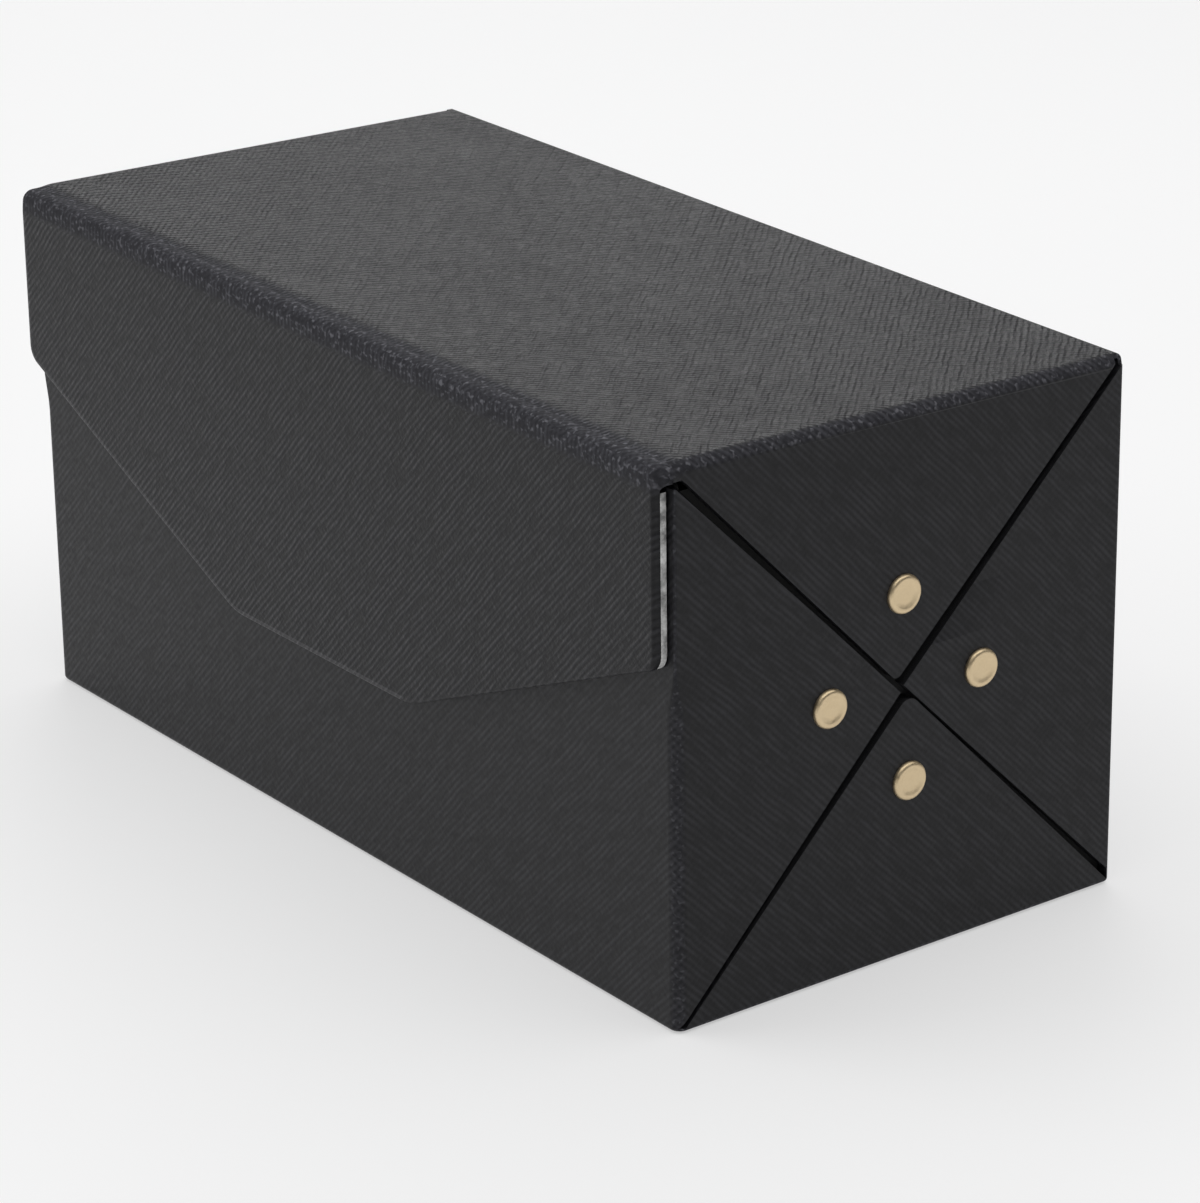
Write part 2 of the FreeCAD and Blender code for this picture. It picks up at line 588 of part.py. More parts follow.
def flap_layers():
    """Cover, stiffener and lining of the flap."""
    cover = new_body("flap_cover", FLAP_PLACE)
    add_block(cover, "XZ_Plane", flap_outline("0"), f"-{FLAP_LINING}", "cover + flap_card")
    cut_block(cover, "XZ_Plane", [flap_outline("cover")], f"-{FLAP_LINING}", "flap_card", back=True)
    round_flap(cover, "cover")
    round_flap(cover, "0")
    face, foot = value(FLAP_FACE), value("height - flap_drop")
    round_edges(cover, "flap_fold", lambda c, t: near(c.y, face) and near(c.z, foot))
    card = new_body("flap_board", FLAP_PLACE)
    add_block(card, "XZ_Plane", flap_outline("cover"), f"-{FLAP_LINING}", "flap_card")
    round_flap(card, "cover")
    sockets = magnet_outlines(FLAP_MAGNET_Z, "magnet_play", "flap_shift")
    cut_block(card, "XZ_Plane", sockets, f"-{FLAP_CARD}", "depth")
    lining = new_body("flap_lining_sheet", FLAP_PLACE)
    start = f"-({FLAP_LINING} + flap_lining)"
    add_block(lining, "XZ_Plane", flap_outline("flap_margin"), start, "flap_lining")
    round_flap(lining, "flap_margin")


# ------------------------------------------------------------------ rivets and magnets
def magnet_outlines(level, play, aside="0"):
    """Outlines of the two bar magnets, as (x, z), each a play larger all round. The flap's
    are set aside by what it sits off the middle."""
    outlines = []
    low = f"{level} - magnet_height / 2 - ({play})"
    high = f"{level} + magnet_height / 2 + ({play})"
    for sign in HANDS.values():
        left = f"{sign} * magnet_reach + ({aside}) - magnet_width / 2 - ({play})"
        right = f"{sign} * magnet_reach + ({aside}) + magnet_width / 2 + ({play})"
        outlines.append(((left, low), (right, low), (right, high), (left, high)))
    return outlines


def rivet_set(name, profile, spots, place):
    """Identical rivet parts at the given spots of both ends, each turned from an outline of
    (x, radius) pairs."""
    body = new_body(name, place)
    for y, z in spots:
        sketch = new_sketch(body, "XY_Plane", z)
        draw_outline(sketch, [(x, f"{y} + {radius}") for x, radius in profile])
        turned = body.newObject("PartDesign::Revolution", f"{name}_turned")
        turned.Profile = sketch
        turned.ReferenceAxis = (sketch, ["Edge1"])
        turned.Angle = 360
        doc.recompute()
    middle = next(feature for feature in body.Origin.OriginFeatures if feature.Role == "YZ_Plane")
    pair = body.newObject("PartDesign::Mirrored", f"{name}_pair")
    pair.TransformMode = "Whole shape"
    pair.MirrorPlane = (middle, [""])
    body.Tip = pair
    doc.recompute()


def cap_outline(inner):
    """Half of a rivet's post and dished outer cap. The post runs in to the inner cap."""
    crest = f"({END} + rivet_rise)"
    dish = f"({crest} - rivet_dish)"
    brim = "(rivet_head / 2)"
    return (
        (inner, "0"),
        (dish, "0"),
        (dish, f"({brim} - rivet_rim)"),
        (crest, f"({brim} - rivet_rim / 2)"),
        (f"({crest} - rivet_bevel)", brim),
        (END, brim),
        (END, "rivet_shank / 2"),
        (inner, "rivet_shank / 2"),
    )


def rivets():
    """Three rivets through each end, and one through each of the lid's triangles."""
    brim = "(rivet_head / 2)"
    sets = (
        ("end", END_INSIDE, FIXED_SPOTS, BOX_PLACE),
        ("lid", LID_SOCKET, [RIVET_SPOTS["lid"]], LID_PLACE),
    )
    for group, inner, spots, place in sets:
        rivet_set(f"{group}_rivet_caps", cap_outline(inner), spots, place)
        tail = f"({inner} - rivet_back)"
        disc = ((tail, "0"), (inner, "0"), (inner, brim), (tail, brim))
        rivet_set(f"{group}_rivet_backs", disc, spots, place)


def magnet_pair(name, level, start, thick, place=BOX_PLACE, aside="0"):
    """Two bar magnets, from a front face inwards."""
    body = new_body(name, place)
    sketch = new_sketch(body, "XZ_Plane", start)
    for corners in magnet_outlines(level, "0", aside):
        draw_outline(sketch, corners)
    extrude(body, "Pad", sketch, thick, back=True)


# ---------------------------------------------------------------------------- hinges
def hinge_strips():
    """The three places where sheet alone joins two moving parts."""
    lid_side = "90 - lid_tilt"
    bent_strip(
        "lid_hinge_fold", (HINGE_Y, HINGE_Z), "hinge_radius", "cover",
        (lid_side, "0"), ("hinge_land", "hinge_land"), END,
    )
    bent_strip(
        "lid_hinge_lining", (STRIP_Y, STRIP_Z), "strip_radius", "lining",
        ("90", "0"), ("strip_land", "strip_land"), END_INSIDE,
    )
    bent_strip(
        "flap_hinge_roll", (f"{ROLL_Y} + {FLAP_SHIFT}", f"{ROLL_Z} + {FLAP_LIFT}"), "roll_radius",
        "cover + flap_card", ("180", lid_side), ("roll_drop", "roll_land"), FLAP_HALF, "flap_shift",
    )


# ------------------------------------------------------------------------- the whole box
lower_boards()
lower_linings()
lower_cover()
for hand in HANDS:
    for side in FIXED_SIDES:
        triangle_board(hand, side, "fold_board")
lid_boards()
lid_cover()
flap_layers()
rivets()
magnet_pair("wall_magnets", MAGNET_Z, WALL_BOARD, "magnet_depth")
magnet_pair("flap_magnets", FLAP_MAGNET_Z, f"-{FLAP_CARD}", "flap_card", FLAP_PLACE, "flap_shift")
hinge_strips()

doc.recompute()
for item in doc.Objects:
    if {"Invalid", "Error"} & set(item.State):
        raise RuntimeError(f"{item.Name} failed")
os.makedirs("parts", exist_ok=True)
for name, piece in pieces.items():
    if piece.Shape.isNull() or not piece.Shape.isValid():
        raise RuntimeError(f"{name} has no valid shape")
    piece.Shape.exportStep(f"parts/{name}.step")
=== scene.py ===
import json
from math import atan2, cos, hypot, pi, radians, sin, sqrt, tan

import bmesh
import bpy
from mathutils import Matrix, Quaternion, Vector


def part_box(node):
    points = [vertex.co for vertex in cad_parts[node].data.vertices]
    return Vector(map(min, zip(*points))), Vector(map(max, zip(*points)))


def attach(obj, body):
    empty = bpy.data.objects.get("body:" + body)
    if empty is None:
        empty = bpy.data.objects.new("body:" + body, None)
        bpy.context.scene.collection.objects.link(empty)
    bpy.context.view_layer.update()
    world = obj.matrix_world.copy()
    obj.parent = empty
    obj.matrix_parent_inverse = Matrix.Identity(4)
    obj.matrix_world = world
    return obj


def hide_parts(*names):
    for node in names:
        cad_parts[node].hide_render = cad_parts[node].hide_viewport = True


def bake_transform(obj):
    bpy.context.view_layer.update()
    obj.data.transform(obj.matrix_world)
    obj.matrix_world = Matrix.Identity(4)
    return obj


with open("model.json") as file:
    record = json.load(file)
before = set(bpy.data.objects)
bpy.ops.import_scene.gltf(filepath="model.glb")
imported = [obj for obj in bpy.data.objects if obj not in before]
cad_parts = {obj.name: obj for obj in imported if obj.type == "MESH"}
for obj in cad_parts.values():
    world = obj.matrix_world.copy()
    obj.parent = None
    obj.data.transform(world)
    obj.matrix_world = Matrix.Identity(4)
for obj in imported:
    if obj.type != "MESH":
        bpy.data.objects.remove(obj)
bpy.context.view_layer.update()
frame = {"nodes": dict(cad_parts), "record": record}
NODES = frame["nodes"]
SLOTS = {row["node"]: row["material_slot"] for row in frame["record"]["subparts"]}

# Lengths are millimetres and become metres when a piece is made. X runs along the box, -Y is
# its front and +Z is up, and both the lid and the flap stand as they do at rest.
METRE = 1000.0


def edges_of(node):
    """The lowest and the highest corner of a solid, in millimetres."""
    low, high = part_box(node)
    return Vector(low) * METRE, Vector(high) * METRE


BODY_LOW, BODY_HIGH = edges_of("body_cover")
FLAP_LOW, FLAP_HIGH = edges_of("flap_cover")
ROLL_LOW, ROLL_HIGH = edges_of("flap_hinge_roll")
HALF_LENGTH = BODY_HIGH.x
MIDDLE_HEIGHT = 50.0

# Hinge of the lid as (y, z), and how far the lid stands open at rest
LID_AXIS = (48.0, 99.0)
LID_TILT_DEGREES = 1.41
LID_TILT = radians(LID_TILT_DEGREES)
LID_TOP = 100.0      # height of the lid's top straight above its hinge


def with_lid(y, z):
    """Where a point (y, z) of the shut lid stands at rest."""
    across, up = y - LID_AXIS[0], z - LID_AXIS[1]
    return (
        LID_AXIS[0] + across * cos(LID_TILT) + up * sin(LID_TILT),
        LID_AXIS[1] - across * sin(LID_TILT) + up * cos(LID_TILT),
    )


def smooth(low, high, value):
    """0 below low, 1 above high, and an S between."""
    share = min(1.0, max(0.0, (value - low) / (high - low)))
    return share * share * (3 - 2 * share)


# ------------------------------------------------------------------ shader building blocks
class Shader:
    """A node material under construction."""

    def __init__(self, name):
        self.material = bpy.data.materials.new(name)
        self.material.use_nodes = True
        self.tree = self.material.node_tree
        self.surface = self.tree.nodes["Principled BSDF"]

    def plug(self, socket, source):
        if isinstance(source, bpy.types.NodeSocket):
            self.tree.links.new(source, socket)
        else:
            socket.default_value = source

    def node(self, kind, inputs=None, **settings):
        made = self.tree.nodes.new(kind)
        for key, setting in settings.items():
            setattr(made, key, setting)
        for key, source in (inputs or {}).items():
            self.plug(made.inputs[key], source)
        return made

    def math(self, operation, a, b=0.0, c=0.0):
        return self.node("ShaderNodeMath", {0: a, 1: b, 2: c}, operation=operation).outputs[0]

    def mix(self, share, a, b):
        """A colour between two. The mix node's colour sockets are its sixth and seventh."""
        return self.node("ShaderNodeMix", {0: share, 6: a, 7: b}, data_type="RGBA").outputs[2]

    def noise(self, where, scale, detail=2.0, roughness=0.5):
        made = self.node(
            "ShaderNodeTexNoise",
            {"Vector": where, "Scale": scale, "Detail": detail, "Roughness": roughness},
        )
        return made.outputs["Fac"]

    def spread(self, source, low, high, to_low, to_high):
        made = self.node(
            "ShaderNodeMapRange",
            {
                "Value": source,
                "From Min": low, "From Max": high, "To Min": to_low, "To Max": to_high,
            },
        )
        return made.outputs["Result"]

    def attribute(self, name):
        return self.node("ShaderNodeAttribute", attribute_name=name).outputs["Fac"]

    def set(self, **constants):
        for key, setting in constants.items():
            self.surface.inputs[key.replace("_", " ")].default_value = setting

    def feed(self, key, source):
        self.tree.links.new(source, self.surface.inputs[key])

    def bump(self, height, distance, strength=1.0):
        """Relief from a height of 0 to 1 that stands for a distance in millimetres."""
        made = self.node(
            "ShaderNodeBump",
            {"Height": height, "Distance": distance / METRE, "Strength": strength},
        )
        self.feed("Normal", made.outputs["Normal"])


# Colours of the leatherette: in its grooves, darker as painted shade, and on its ridges, lighter
# as painted light; the same two where it is pulled round a fold, paler there and partly painted
# light that lifts the folds' shade; painted glints there; and a painted highlight on the flap's
# lower left edges
GROOVE_PAINTED_SHADE, RIDGE_PAINTED_LIGHT = (0.006, 0.006, 0.0072, 1), (0.021, 0.021, 0.0245, 1)
PULLED_AND_LIT_GROOVE, PULLED_AND_LIT_RIDGE = (0.018, 0.018, 0.022, 1), (0.055, 0.055, 0.064, 1)
PAINTED_GLINT, PAINTED_EDGE_HIGHLIGHT = (0.12, 0.12, 0.135, 1), (0.06, 0.06, 0.064, 1)

# Grain: two families of slanting ridges, with the way that they lean and their pitch in
# millimetres. The first is the stronger where the sheet's "lean" is 1, the second where it is 0.
RIDGES = ((-1.0, 1.06), (1.0, 1.14))
RIB_PITCH = 1.1      # of the upright ribs on the roll
GRAIN_DEPTH = 0.26   # of a groove, where the sheet's "relief" is 1


def grained_leatherette():
    """Black leatherette with a slanting cross grain, its grooves painted darker as shade and its
    ridges painted lighter as light. Where it is stretched round a fold it is duller, and paler
    and bluish, partly as painted light that lifts the folds' shade, with painted glints; on the
    flap's roll it opens into upright ribs; and along the flap's lower left edges a painted
    highlight makes it a plain dark grey."""
    shader = Shader("grained_leatherette")
    where = shader.node("ShaderNodeUVMap", uv_map="sheet").outputs["UV"]
    split = shader.node("ShaderNodeSeparateXYZ", {0: where})
    u, v = split.outputs["X"], split.outputs["Y"]
    lean = shader.attribute("lean")
    stretch_and_painted_light = shader.attribute("stretch_and_painted_light")
    relief = shader.attribute("relief")
    ribbed = shader.attribute("ribbed")
    edge_highlight = shader.attribute("edge_highlight")
    meander = shader.noise(where, 0.06, 2.0)
    wobble = shader.noise(where, 0.45, 1.0)
    uneven = shader.noise(where, 0.8, 2.0, 0.6)
    broken = shader.spread(shader.noise(where, 0.5, 2.0, 0.6), 0.38, 0.6, 0.1, 1.0)
    families = []
    for way, pitch in RIDGES:
        across = shader.math("MULTIPLY_ADD", v, way, u)
        phase = shader.math("MULTIPLY", across, 2 * pi / (pitch * sqrt(2)))
        phase = shader.math("MULTIPLY_ADD", meander, 7.0, phase)
        phase = shader.math("MULTIPLY_ADD", wobble, shader.math("MULTIPLY", relief, 2.4), phase)
        phase = shader.math("MULTIPLY_ADD", uneven, shader.math("MULTIPLY", relief, 1.5), phase)
        wave = shader.spread(shader.math("SINE", phase), -1.0, 1.0, 0.0, 1.0)
        along = shader.math("MULTIPLY_ADD", u, -way, v)
        drawn_out = shader.node("ShaderNodeCombineXYZ", {
            "X": shader.math("MULTIPLY", across, 0.4), "Y": shader.math("MULTIPLY", along, 0.09),
        }).outputs["Vector"]
        worn = shader.spread(shader.noise(drawn_out, 1.0, 3.0, 0.6), 0.36, 0.62, 0.1, 1.0)
        families.append(shader.math("MULTIPLY", wave, worn))
    rising = shader.math("MULTIPLY", families[0], lean)
    falling = shader.math("MULTIPLY", families[1], shader.math("SUBTRACT", 1.0, lean))
    grain = shader.math("ADD", rising, falling)
    rib = shader.math("MULTIPLY_ADD", uneven, 1.5, shader.math("MULTIPLY", u, 2 * pi / RIB_PITCH))
    rib = shader.math("MULTIPLY_ADD", shader.math("SINE", rib), 0.42, 0.5)
    rib = shader.math("MULTIPLY", rib, broken)
    grain = shader.math("MULTIPLY", grain, shader.math("SUBTRACT", 1.0, ribbed))
    grain = shader.math("MULTIPLY_ADD", rib, ribbed, grain)
    fine = shader.noise(where, 1.3, 3.0, 0.65)
    height = shader.math("MULTIPLY_ADD", fine, 0.6, grain)
    patches = shader.spread(shader.noise(where, 0.035, 3.0, 0.6), 0.38, 0.62, 0.85, 1.0)
    depth = shader.math("MULTIPLY", relief, patches)
    shader.bump(shader.math("MULTIPLY", height, depth), GRAIN_DEPTH)
    # Grooves are painted darker as shade and ridges lighter as light, over the grain's pattern
    groove_shade = shader.spread(height, 0.3, 1.15, 0.0, 1.0)
    grain_with_shade = shader.mix(groove_shade, GROOVE_PAINTED_SHADE, RIDGE_PAINTED_LIGHT)
    # Painted glints: pale specks where the sheet is pulled round folds
    painted_glints = shader.spread(shader.noise(where, 1.0, 1.0, 0.6), 0.56, 0.72, 0.0, 1.0)
    # Pulled folds are paler and bluish, partly painted light that lifts their shade
    pulled_and_lit = shader.mix(groove_shade, PULLED_AND_LIT_GROOVE, PULLED_AND_LIT_RIDGE)
    pulled_and_lit = shader.mix(painted_glints, pulled_and_lit, PAINTED_GLINT)
    colour = shader.mix(stretch_and_painted_light, grain_with_shade, pulled_and_lit)
    # Painted highlight on the flap's lower left edges, a plain dark grey
    shader.feed("Base Color", shader.mix(edge_highlight, colour, PAINTED_EDGE_HIGHLIGHT))
    gloss = shader.spread(uneven, 0.3, 0.7, 0.34, 0.5)
    shader.feed("Roughness", shader.spread(stretch_and_painted_light, 0.0, 1.0, gloss, 0.8))
    shader.set(Specular_IOR_Level=0.22)
    return shader.material


def plain(name, colour, roughness, scale, depth):
    """A quiet finish with a little unevenness. The depth is in millimetres."""
    shader = Shader(name)
    where = shader.node("ShaderNodeTexCoord").outputs["Object"]
    fibre = shader.noise(where, scale, 4.0, 0.6)
    darker = tuple(0.75 * c for c in colour) + (1,)
    lighter = tuple(min(1.0, 1.25 * c) for c in colour) + (1,)
    shader.feed("Base Color", shader.mix(fibre, darker, lighter))
    shader.feed("Roughness", shader.spread(fibre, 0.3, 0.7, roughness - 0.06, roughness + 0.06))
    shader.bump(fibre, depth)
    return shader


def worn_brass():
    """Pale brass, a little hammered and dulled."""
    shader = Shader("brass")
    where = shader.node("ShaderNodeTexCoord").outputs["Object"]
    dents = shader.noise(where, 420.0, 2.0, 0.5)
    haze = shader.noise(where, 900.0, 3.0, 0.6)
    shader.feed("Base Color", shader.mix(haze, (0.60, 0.46, 0.28, 1), (0.80, 0.66, 0.44, 1)))
    shader.feed("Roughness", shader.spread(haze, 0.3, 0.7, 0.34, 0.5))
    shader.bump(dents, 0.16)
    shader.set(Metallic=1.0)
    return shader.material


def raw_card_edge():
    """The pale core of the flap's lining, where its cut edge shows, dirtied in places."""
    shader = Shader("raw_card_edge")
    where = shader.node("ShaderNodeTexCoord").outputs["Object"]
    dirt = shader.noise(where, 260.0, 4.0, 0.7)
    share = shader.spread(dirt, 0.35, 0.62, 0.0, 1.0)
    shader.feed("Base Color", shader.mix(share, (0.22, 0.22, 0.22, 1), (0.85, 0.85, 0.84, 1)))
    shader.set(Roughness=0.9, Specular_IOR_Level=0.2)
    shader.bump(dirt, 0.1)
    return shader.material


# The flap's lining is dark on its face. Its pale core is a second finish on its cut edge.
MATERIALS = {
    "leatherette": grained_leatherette(),
    "black_board": plain("black_board", (0.010, 0.010, 0.010), 0.9, 900.0, 0.05).material,
    "lining_paper": plain("lining_paper", (0.016, 0.016, 0.017), 0.85, 1500.0, 0.03).material,
    "pale_card": plain("black_card", (0.012, 0.012, 0.012), 0.85, 1200.0, 0.04).material,
    "brass": worn_brass(),
}
steel = plain("magnet", (0.55, 0.55, 0.56), 0.35, 600.0, 0.01)
steel.set(Metallic=1.0)
MATERIALS["magnet"] = steel.material


# -------------------------------------------------------------------- sheet coordinates
# Which family of ridges shows more, and how deep the grain is, on the walls, on the lid and
# the floor, and on the ends: first the front and floor parts of an end, then the other two
WALL, FLAT, END, LATER_END = (0.92, 0.2), (0.5, 1.3), (0.12, 0.25), (0.88, 0.25)
FLAP_GRAIN = (0.92, 0.6)
SOFT_FOLD, CRISP_FOLD = 2.2, 0.9      # radii of the folds at the front, and elsewhere
TIGHT_FOLD = 0.5                      # of the front corners where the flap has pressed them
TIGHT_FROM, TIGHT_TO = 57.0, 66.0     # heights over which they tighten
FLAT_NORMAL, STEEP_NORMAL = 0.999, 0.01    # of faces square to an axis, and along it


def front_fold(z):
    """Radius of the front corners at a height."""
    return SOFT_FOLD + (TIGHT_FOLD - SOFT_FOLD) * smooth(TIGHT_FROM, TIGHT_TO, z)


def round_fold(across, down, radius):
    """How far a point lies along a sheet that folds over an edge, past the start of the fold,
    and how much of the fold it has turned. Across is its way past the fold's start on the
    first face, and down its way along the second."""
    if across <= 0:
        return across, 0.0
    if down >= 0:
        return radius * pi / 2 + down, 1.0
    angle = atan2(across, -down)
    return radius * angle, min(1.0, angle / (pi / 2))


def between(first, second, share):
    return [a + (b - a) * share for a, b in zip(first, second)]


def pull_and_lighten(turned):
    """How much the sheet is stretched at a share of its turn round a fold, which also sets how
    much painted light pales it there.
    """
    return smooth(0.05, 0.3, turned) * (1 - smooth(0.7, 1.0, turned))


def sheet_place(p, normal, centre):
    """Flat coordinates, lean and relief of the sheet at a point, and how far it is pulled, which
    also paints it lighter.
    The ends belong to the walls, the floor and the lid that they are folded from, and the
    grain runs on over each fold."""
    side = max(range(3), key=lambda axis: abs(normal[axis]))
    flat = abs(normal[side]) > FLAT_NORMAL
    hand = 1 if p.x > 0 else -1
    near_end = abs(centre.x) > HALF_LENGTH - SOFT_FOLD
    upright = abs(centre.y) > abs(centre.z - MIDDLE_HEIGHT)
    if side == 1 or (near_end and upright):
        front = centre.y < 0
        radius = front_fold(p.z) if front else CRISP_FOLD
        wall = BODY_HIGH.y
        run, turned = round_fold(
            abs(p.x) - (HALF_LENGTH - radius), (wall - radius) - abs(p.y), radius,
        )
        if flat:
            turned = 1.0 if side == 0 else 0.0
        folded = END if front else LATER_END
        along = hand * (HALF_LENGTH - radius + run)
        return along, p.z, *between(WALL, folded, turned), 0.5 * pull_and_lighten(turned)
    if side == 2 or near_end:
        lid = centre.z > MIDDLE_HEIGHT
        radius = SOFT_FOLD if lid else CRISP_FOLD
        level = LID_TOP + (LID_AXIS[0] - p.y) * tan(LID_TILT) if lid else -BODY_LOW.z
        down = level - radius - p.z if lid else level - radius + p.z
        run, turned = round_fold(abs(p.x) - (HALF_LENGTH - radius), down, radius)
        if flat:
            turned = 1.0 if side == 0 else 0.0
        folded = LATER_END if lid else END
        along = hand * (HALF_LENGTH - radius + run)
        return along, p.y, *between(FLAT, folded, turned), pull_and_lighten(turned)
    return p.y, p.z, *END, 0.0


def flap_place(p, normal, centre):
    """The same for the flap's flat front and its edges."""
    return p.x, p.z, *FLAP_GRAIN, 0.0


def unfold(mesh, unit, ribs_at=None, place=sheet_place):
    """Write the sheet's flat coordinates, its lean and relief, its stretch, which also paints
    light onto it, and where it has ribs.
    """
    mesh.uv_layers.new(name="sheet")
    for name in ("lean", "relief", "stretch_and_painted_light", "ribbed", "edge_highlight"):
        mesh.attributes.new(name, "FLOAT", "CORNER")
    layer, leans = mesh.uv_layers["sheet"], mesh.attributes["lean"]
    reliefs, stretch_painted_light_data = mesh.attributes["relief"], mesh.attributes["stretch_and_painted_light"]
    ribs = mesh.attributes["ribbed"]
    for face in mesh.polygons:
        centre = face.center * unit
        for loop in face.loop_indices:
            p = mesh.vertices[mesh.loops[loop].vertex_index].co * unit
            u, v, lean, relief, pulled_and_lit = place(p, face.normal, centre)
            ribbed = ribs_at(p) if ribs_at else 0.0
            layer.data[loop].uv = (u, v)
            leans.data[loop].value = lean
            reliefs.data[loop].value = relief
            stretch_painted_light_data.data[loop].value = max(pulled_and_lit, ribbed)
            ribs.data[loop].value = ribbed


# ------------------------------------------------------------------------ mesh helpers
def piece(name, form, slot, ribs_at=None, place=sheet_place):
    """An object from a bmesh in millimetres, with its finish."""
    mesh = bpy.data.meshes.new(name)
    bmesh.ops.recalc_face_normals(form, faces=form.faces)
    form.to_mesh(mesh)
    form.free()
    made = bpy.data.objects.new(name, mesh)
    bpy.context.scene.collection.objects.link(made)
    mesh.materials.append(MATERIALS[slot])
    if slot == "leatherette":
        unfold(mesh, 1.0, ribs_at, place)
    for vertex in mesh.vertices:
        vertex.co /= METRE
    return made


def from_node(node):
    """The solid's surface in millimetres, welded and with its flat faces whole."""
    form = bmesh.new()
    form.from_mesh(NODES[node].data)
    bmesh.ops.remove_doubles(form, verts=form.verts, dist=1e-7)
    bmesh.ops.dissolve_limit(
        form, angle_limit=radians(0.4), verts=form.verts, edges=form.edges, delimit=set()
    )
    bmesh.ops.scale(form, vec=(METRE, METRE, METRE), verts=form.verts)
    return form


def shade_smooth(thing, degrees=35, flat_from=600.0):
    """Smooth shading, apart from the faces of so many square millimetres and more."""
    for face in thing.data.polygons:
        face.use_smooth = True
    thing.data.set_sharp_from_angle(angle=radians(degrees))
    for face in thing.data.polygons:
        if face.area * METRE ** 2 > flat_from:
            face.use_smooth = False


def loft(form, rings, closed_ends=True):
    """Skin a list of equal rings of points, and close its two ends."""
    rows = [[form.verts.new(point) for point in ring] for ring in rings]
    count = len(rows[0])
    for row, following in zip(rows, rows[1:]):
        for i in range(count):
            j = (i + 1) % count
            form.faces.new((row[i], row[j], following[j], following[i]))
    if closed_ends:
        form.faces.new(list(reversed(rows[0])))
        form.faces.new(rows[-1])


# --------------------------------------------------------------- rivets' places and caps
RIVET_REACH = 16.8
RIVET_SHIFT = 0.5
RIVET_RADIUS = 3.55
RIVET_HOLE = 2.5     # more than the radius of its hole
END_SPOTS = (
    (RIVET_SHIFT - RIVET_REACH, MIDDLE_HEIGHT + 1.2),
    (RIVET_SHIFT + 0.9, MIDDLE_HEIGHT - RIVET_REACH),
    (RIVET_SHIFT + RIVET_REACH, MIDDLE_HEIGHT),
)
LID_SPOT = with_lid(RIVET_SHIFT, MIDDLE_HEIGHT + RIVET_REACH)
# A cap from its middle out, as (radius, rise above the end)
CAP_PROFILE = (
    (0.0, 0.62), (0.8, 0.63), (1.5, 0.60), (2.0, 0.66), (2.4, 0.80), (2.75, 0.88), (3.05, 0.84),
    (3.3, 0.70), (3.47, 0.46), (3.54, 0.2), (RIVET_RADIUS, 0.0), (RIVET_RADIUS, -0.1),
)
CAP_SIDES = 48


def rivet_caps(name, spots, body, node):
    """Turned caps with a rolled rim and a worn dish, at both ends of the box."""
    form = bmesh.new()
    for hand in (-1, 1):
        for y, z in spots:
            tip = form.verts.new((hand * (HALF_LENGTH + CAP_PROFILE[0][1]), y, z))
            rings = []
            for radius, rise in CAP_PROFILE[1:]:
                ring = []
                for step in range(CAP_SIDES):
                    angle = 2 * pi * step / CAP_SIDES
                    ring.append(form.verts.new((
                        hand * (HALF_LENGTH + rise),
                        y + radius * cos(angle),
                        z + radius * sin(angle),
                    )))
                rings.append(ring)
            for i in range(CAP_SIDES):
                j = (i + 1) % CAP_SIDES
                form.faces.new((tip, rings[0][i], rings[0][j]))
                for ring, wider in zip(rings, rings[1:]):
                    form.faces.new((ring[i], wider[i], wider[j], ring[j]))
            form.faces.new(rings[-1])
    caps = piece(name, form, "brass")
    shade_smooth(caps, 60)
    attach(caps, body)
    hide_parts(node)


def near_rivet(point):
    """Whether a point of an end lies at a rivet's hole."""
    spots = (*END_SPOTS, LID_SPOT)
    return any(hypot(point.y - y, point.z - z) < RIVET_HOLE for y, z in spots)


# --------------------------------------------------------------------- covers of the box
SLIT_ROUND = 0.55     # how the cover rounds over into each slit
SLIT_STEPS = 3
PLANE_SLACK = 0.02    # within which a point lies on a plane


def turn_slit_edges(form):
    """Round the outer edge of each slit in the ends, where the cover turns round its board."""
    chosen = []
    for edge in form.edges:
        on_end = all(abs(abs(v.co.x) - HALF_LENGTH) < PLANE_SLACK for v in edge.verts)
        if len(edge.link_faces) != 2 or not on_end:
            continue
        flat, steep = sorted((abs(face.normal.x) for face in edge.link_faces), reverse=True)
        middle = (edge.verts[0].co + edge.verts[1].co) / 2
        if flat > FLAT_NORMAL and steep < STEEP_NORMAL and not near_rivet(middle):
            chosen.append(edge)
    bmesh.ops.bevel(
        form, geom=chosen, offset=SLIT_ROUND, segments=SLIT_STEPS, profile=0.5, affect="EDGES",
        clamp_overlap=True,
    )


# The lid's sheet sinks a little where it leaves the board, before it rolls over to the flap
SAG = 0.35
SAG_START, SAG_END = -45.4, -48.9
SAG_CUTS = (SAG_START, -46.1, -46.7, -47.3, -47.9, -48.5)
SAG_LEVELS = (97.0, 101.0)      # heights between which the sheet comes to sink fully
LID_EDGE = with_lid(-49.0, 100.0)

# Where the sheet begins to open into ribs on the lid and where it has: ahead of the middle
# of the box, and in height
LID_RIBS_AHEAD, LID_RIBS_UP = (45.9, 48.6), (99.5, 101.0)


def sag_at(y):
    return SAG * smooth(-SAG_START, -SAG_END, -y)


def ribs_on_lid(point):
    """How much the sheet opens into ribs near the lid's front edge."""
    return smooth(*LID_RIBS_AHEAD, -point.y) * smooth(*LID_RIBS_UP, point.z)


def cut_across(form, place, way):
    """Cut every face along a plane, so that the mesh can bend there."""
    bmesh.ops.bisect_plane(
        form, geom=form.verts[:] + form.edges[:] + form.faces[:], dist=1e-5,
        plane_co=place, plane_no=way,
    )


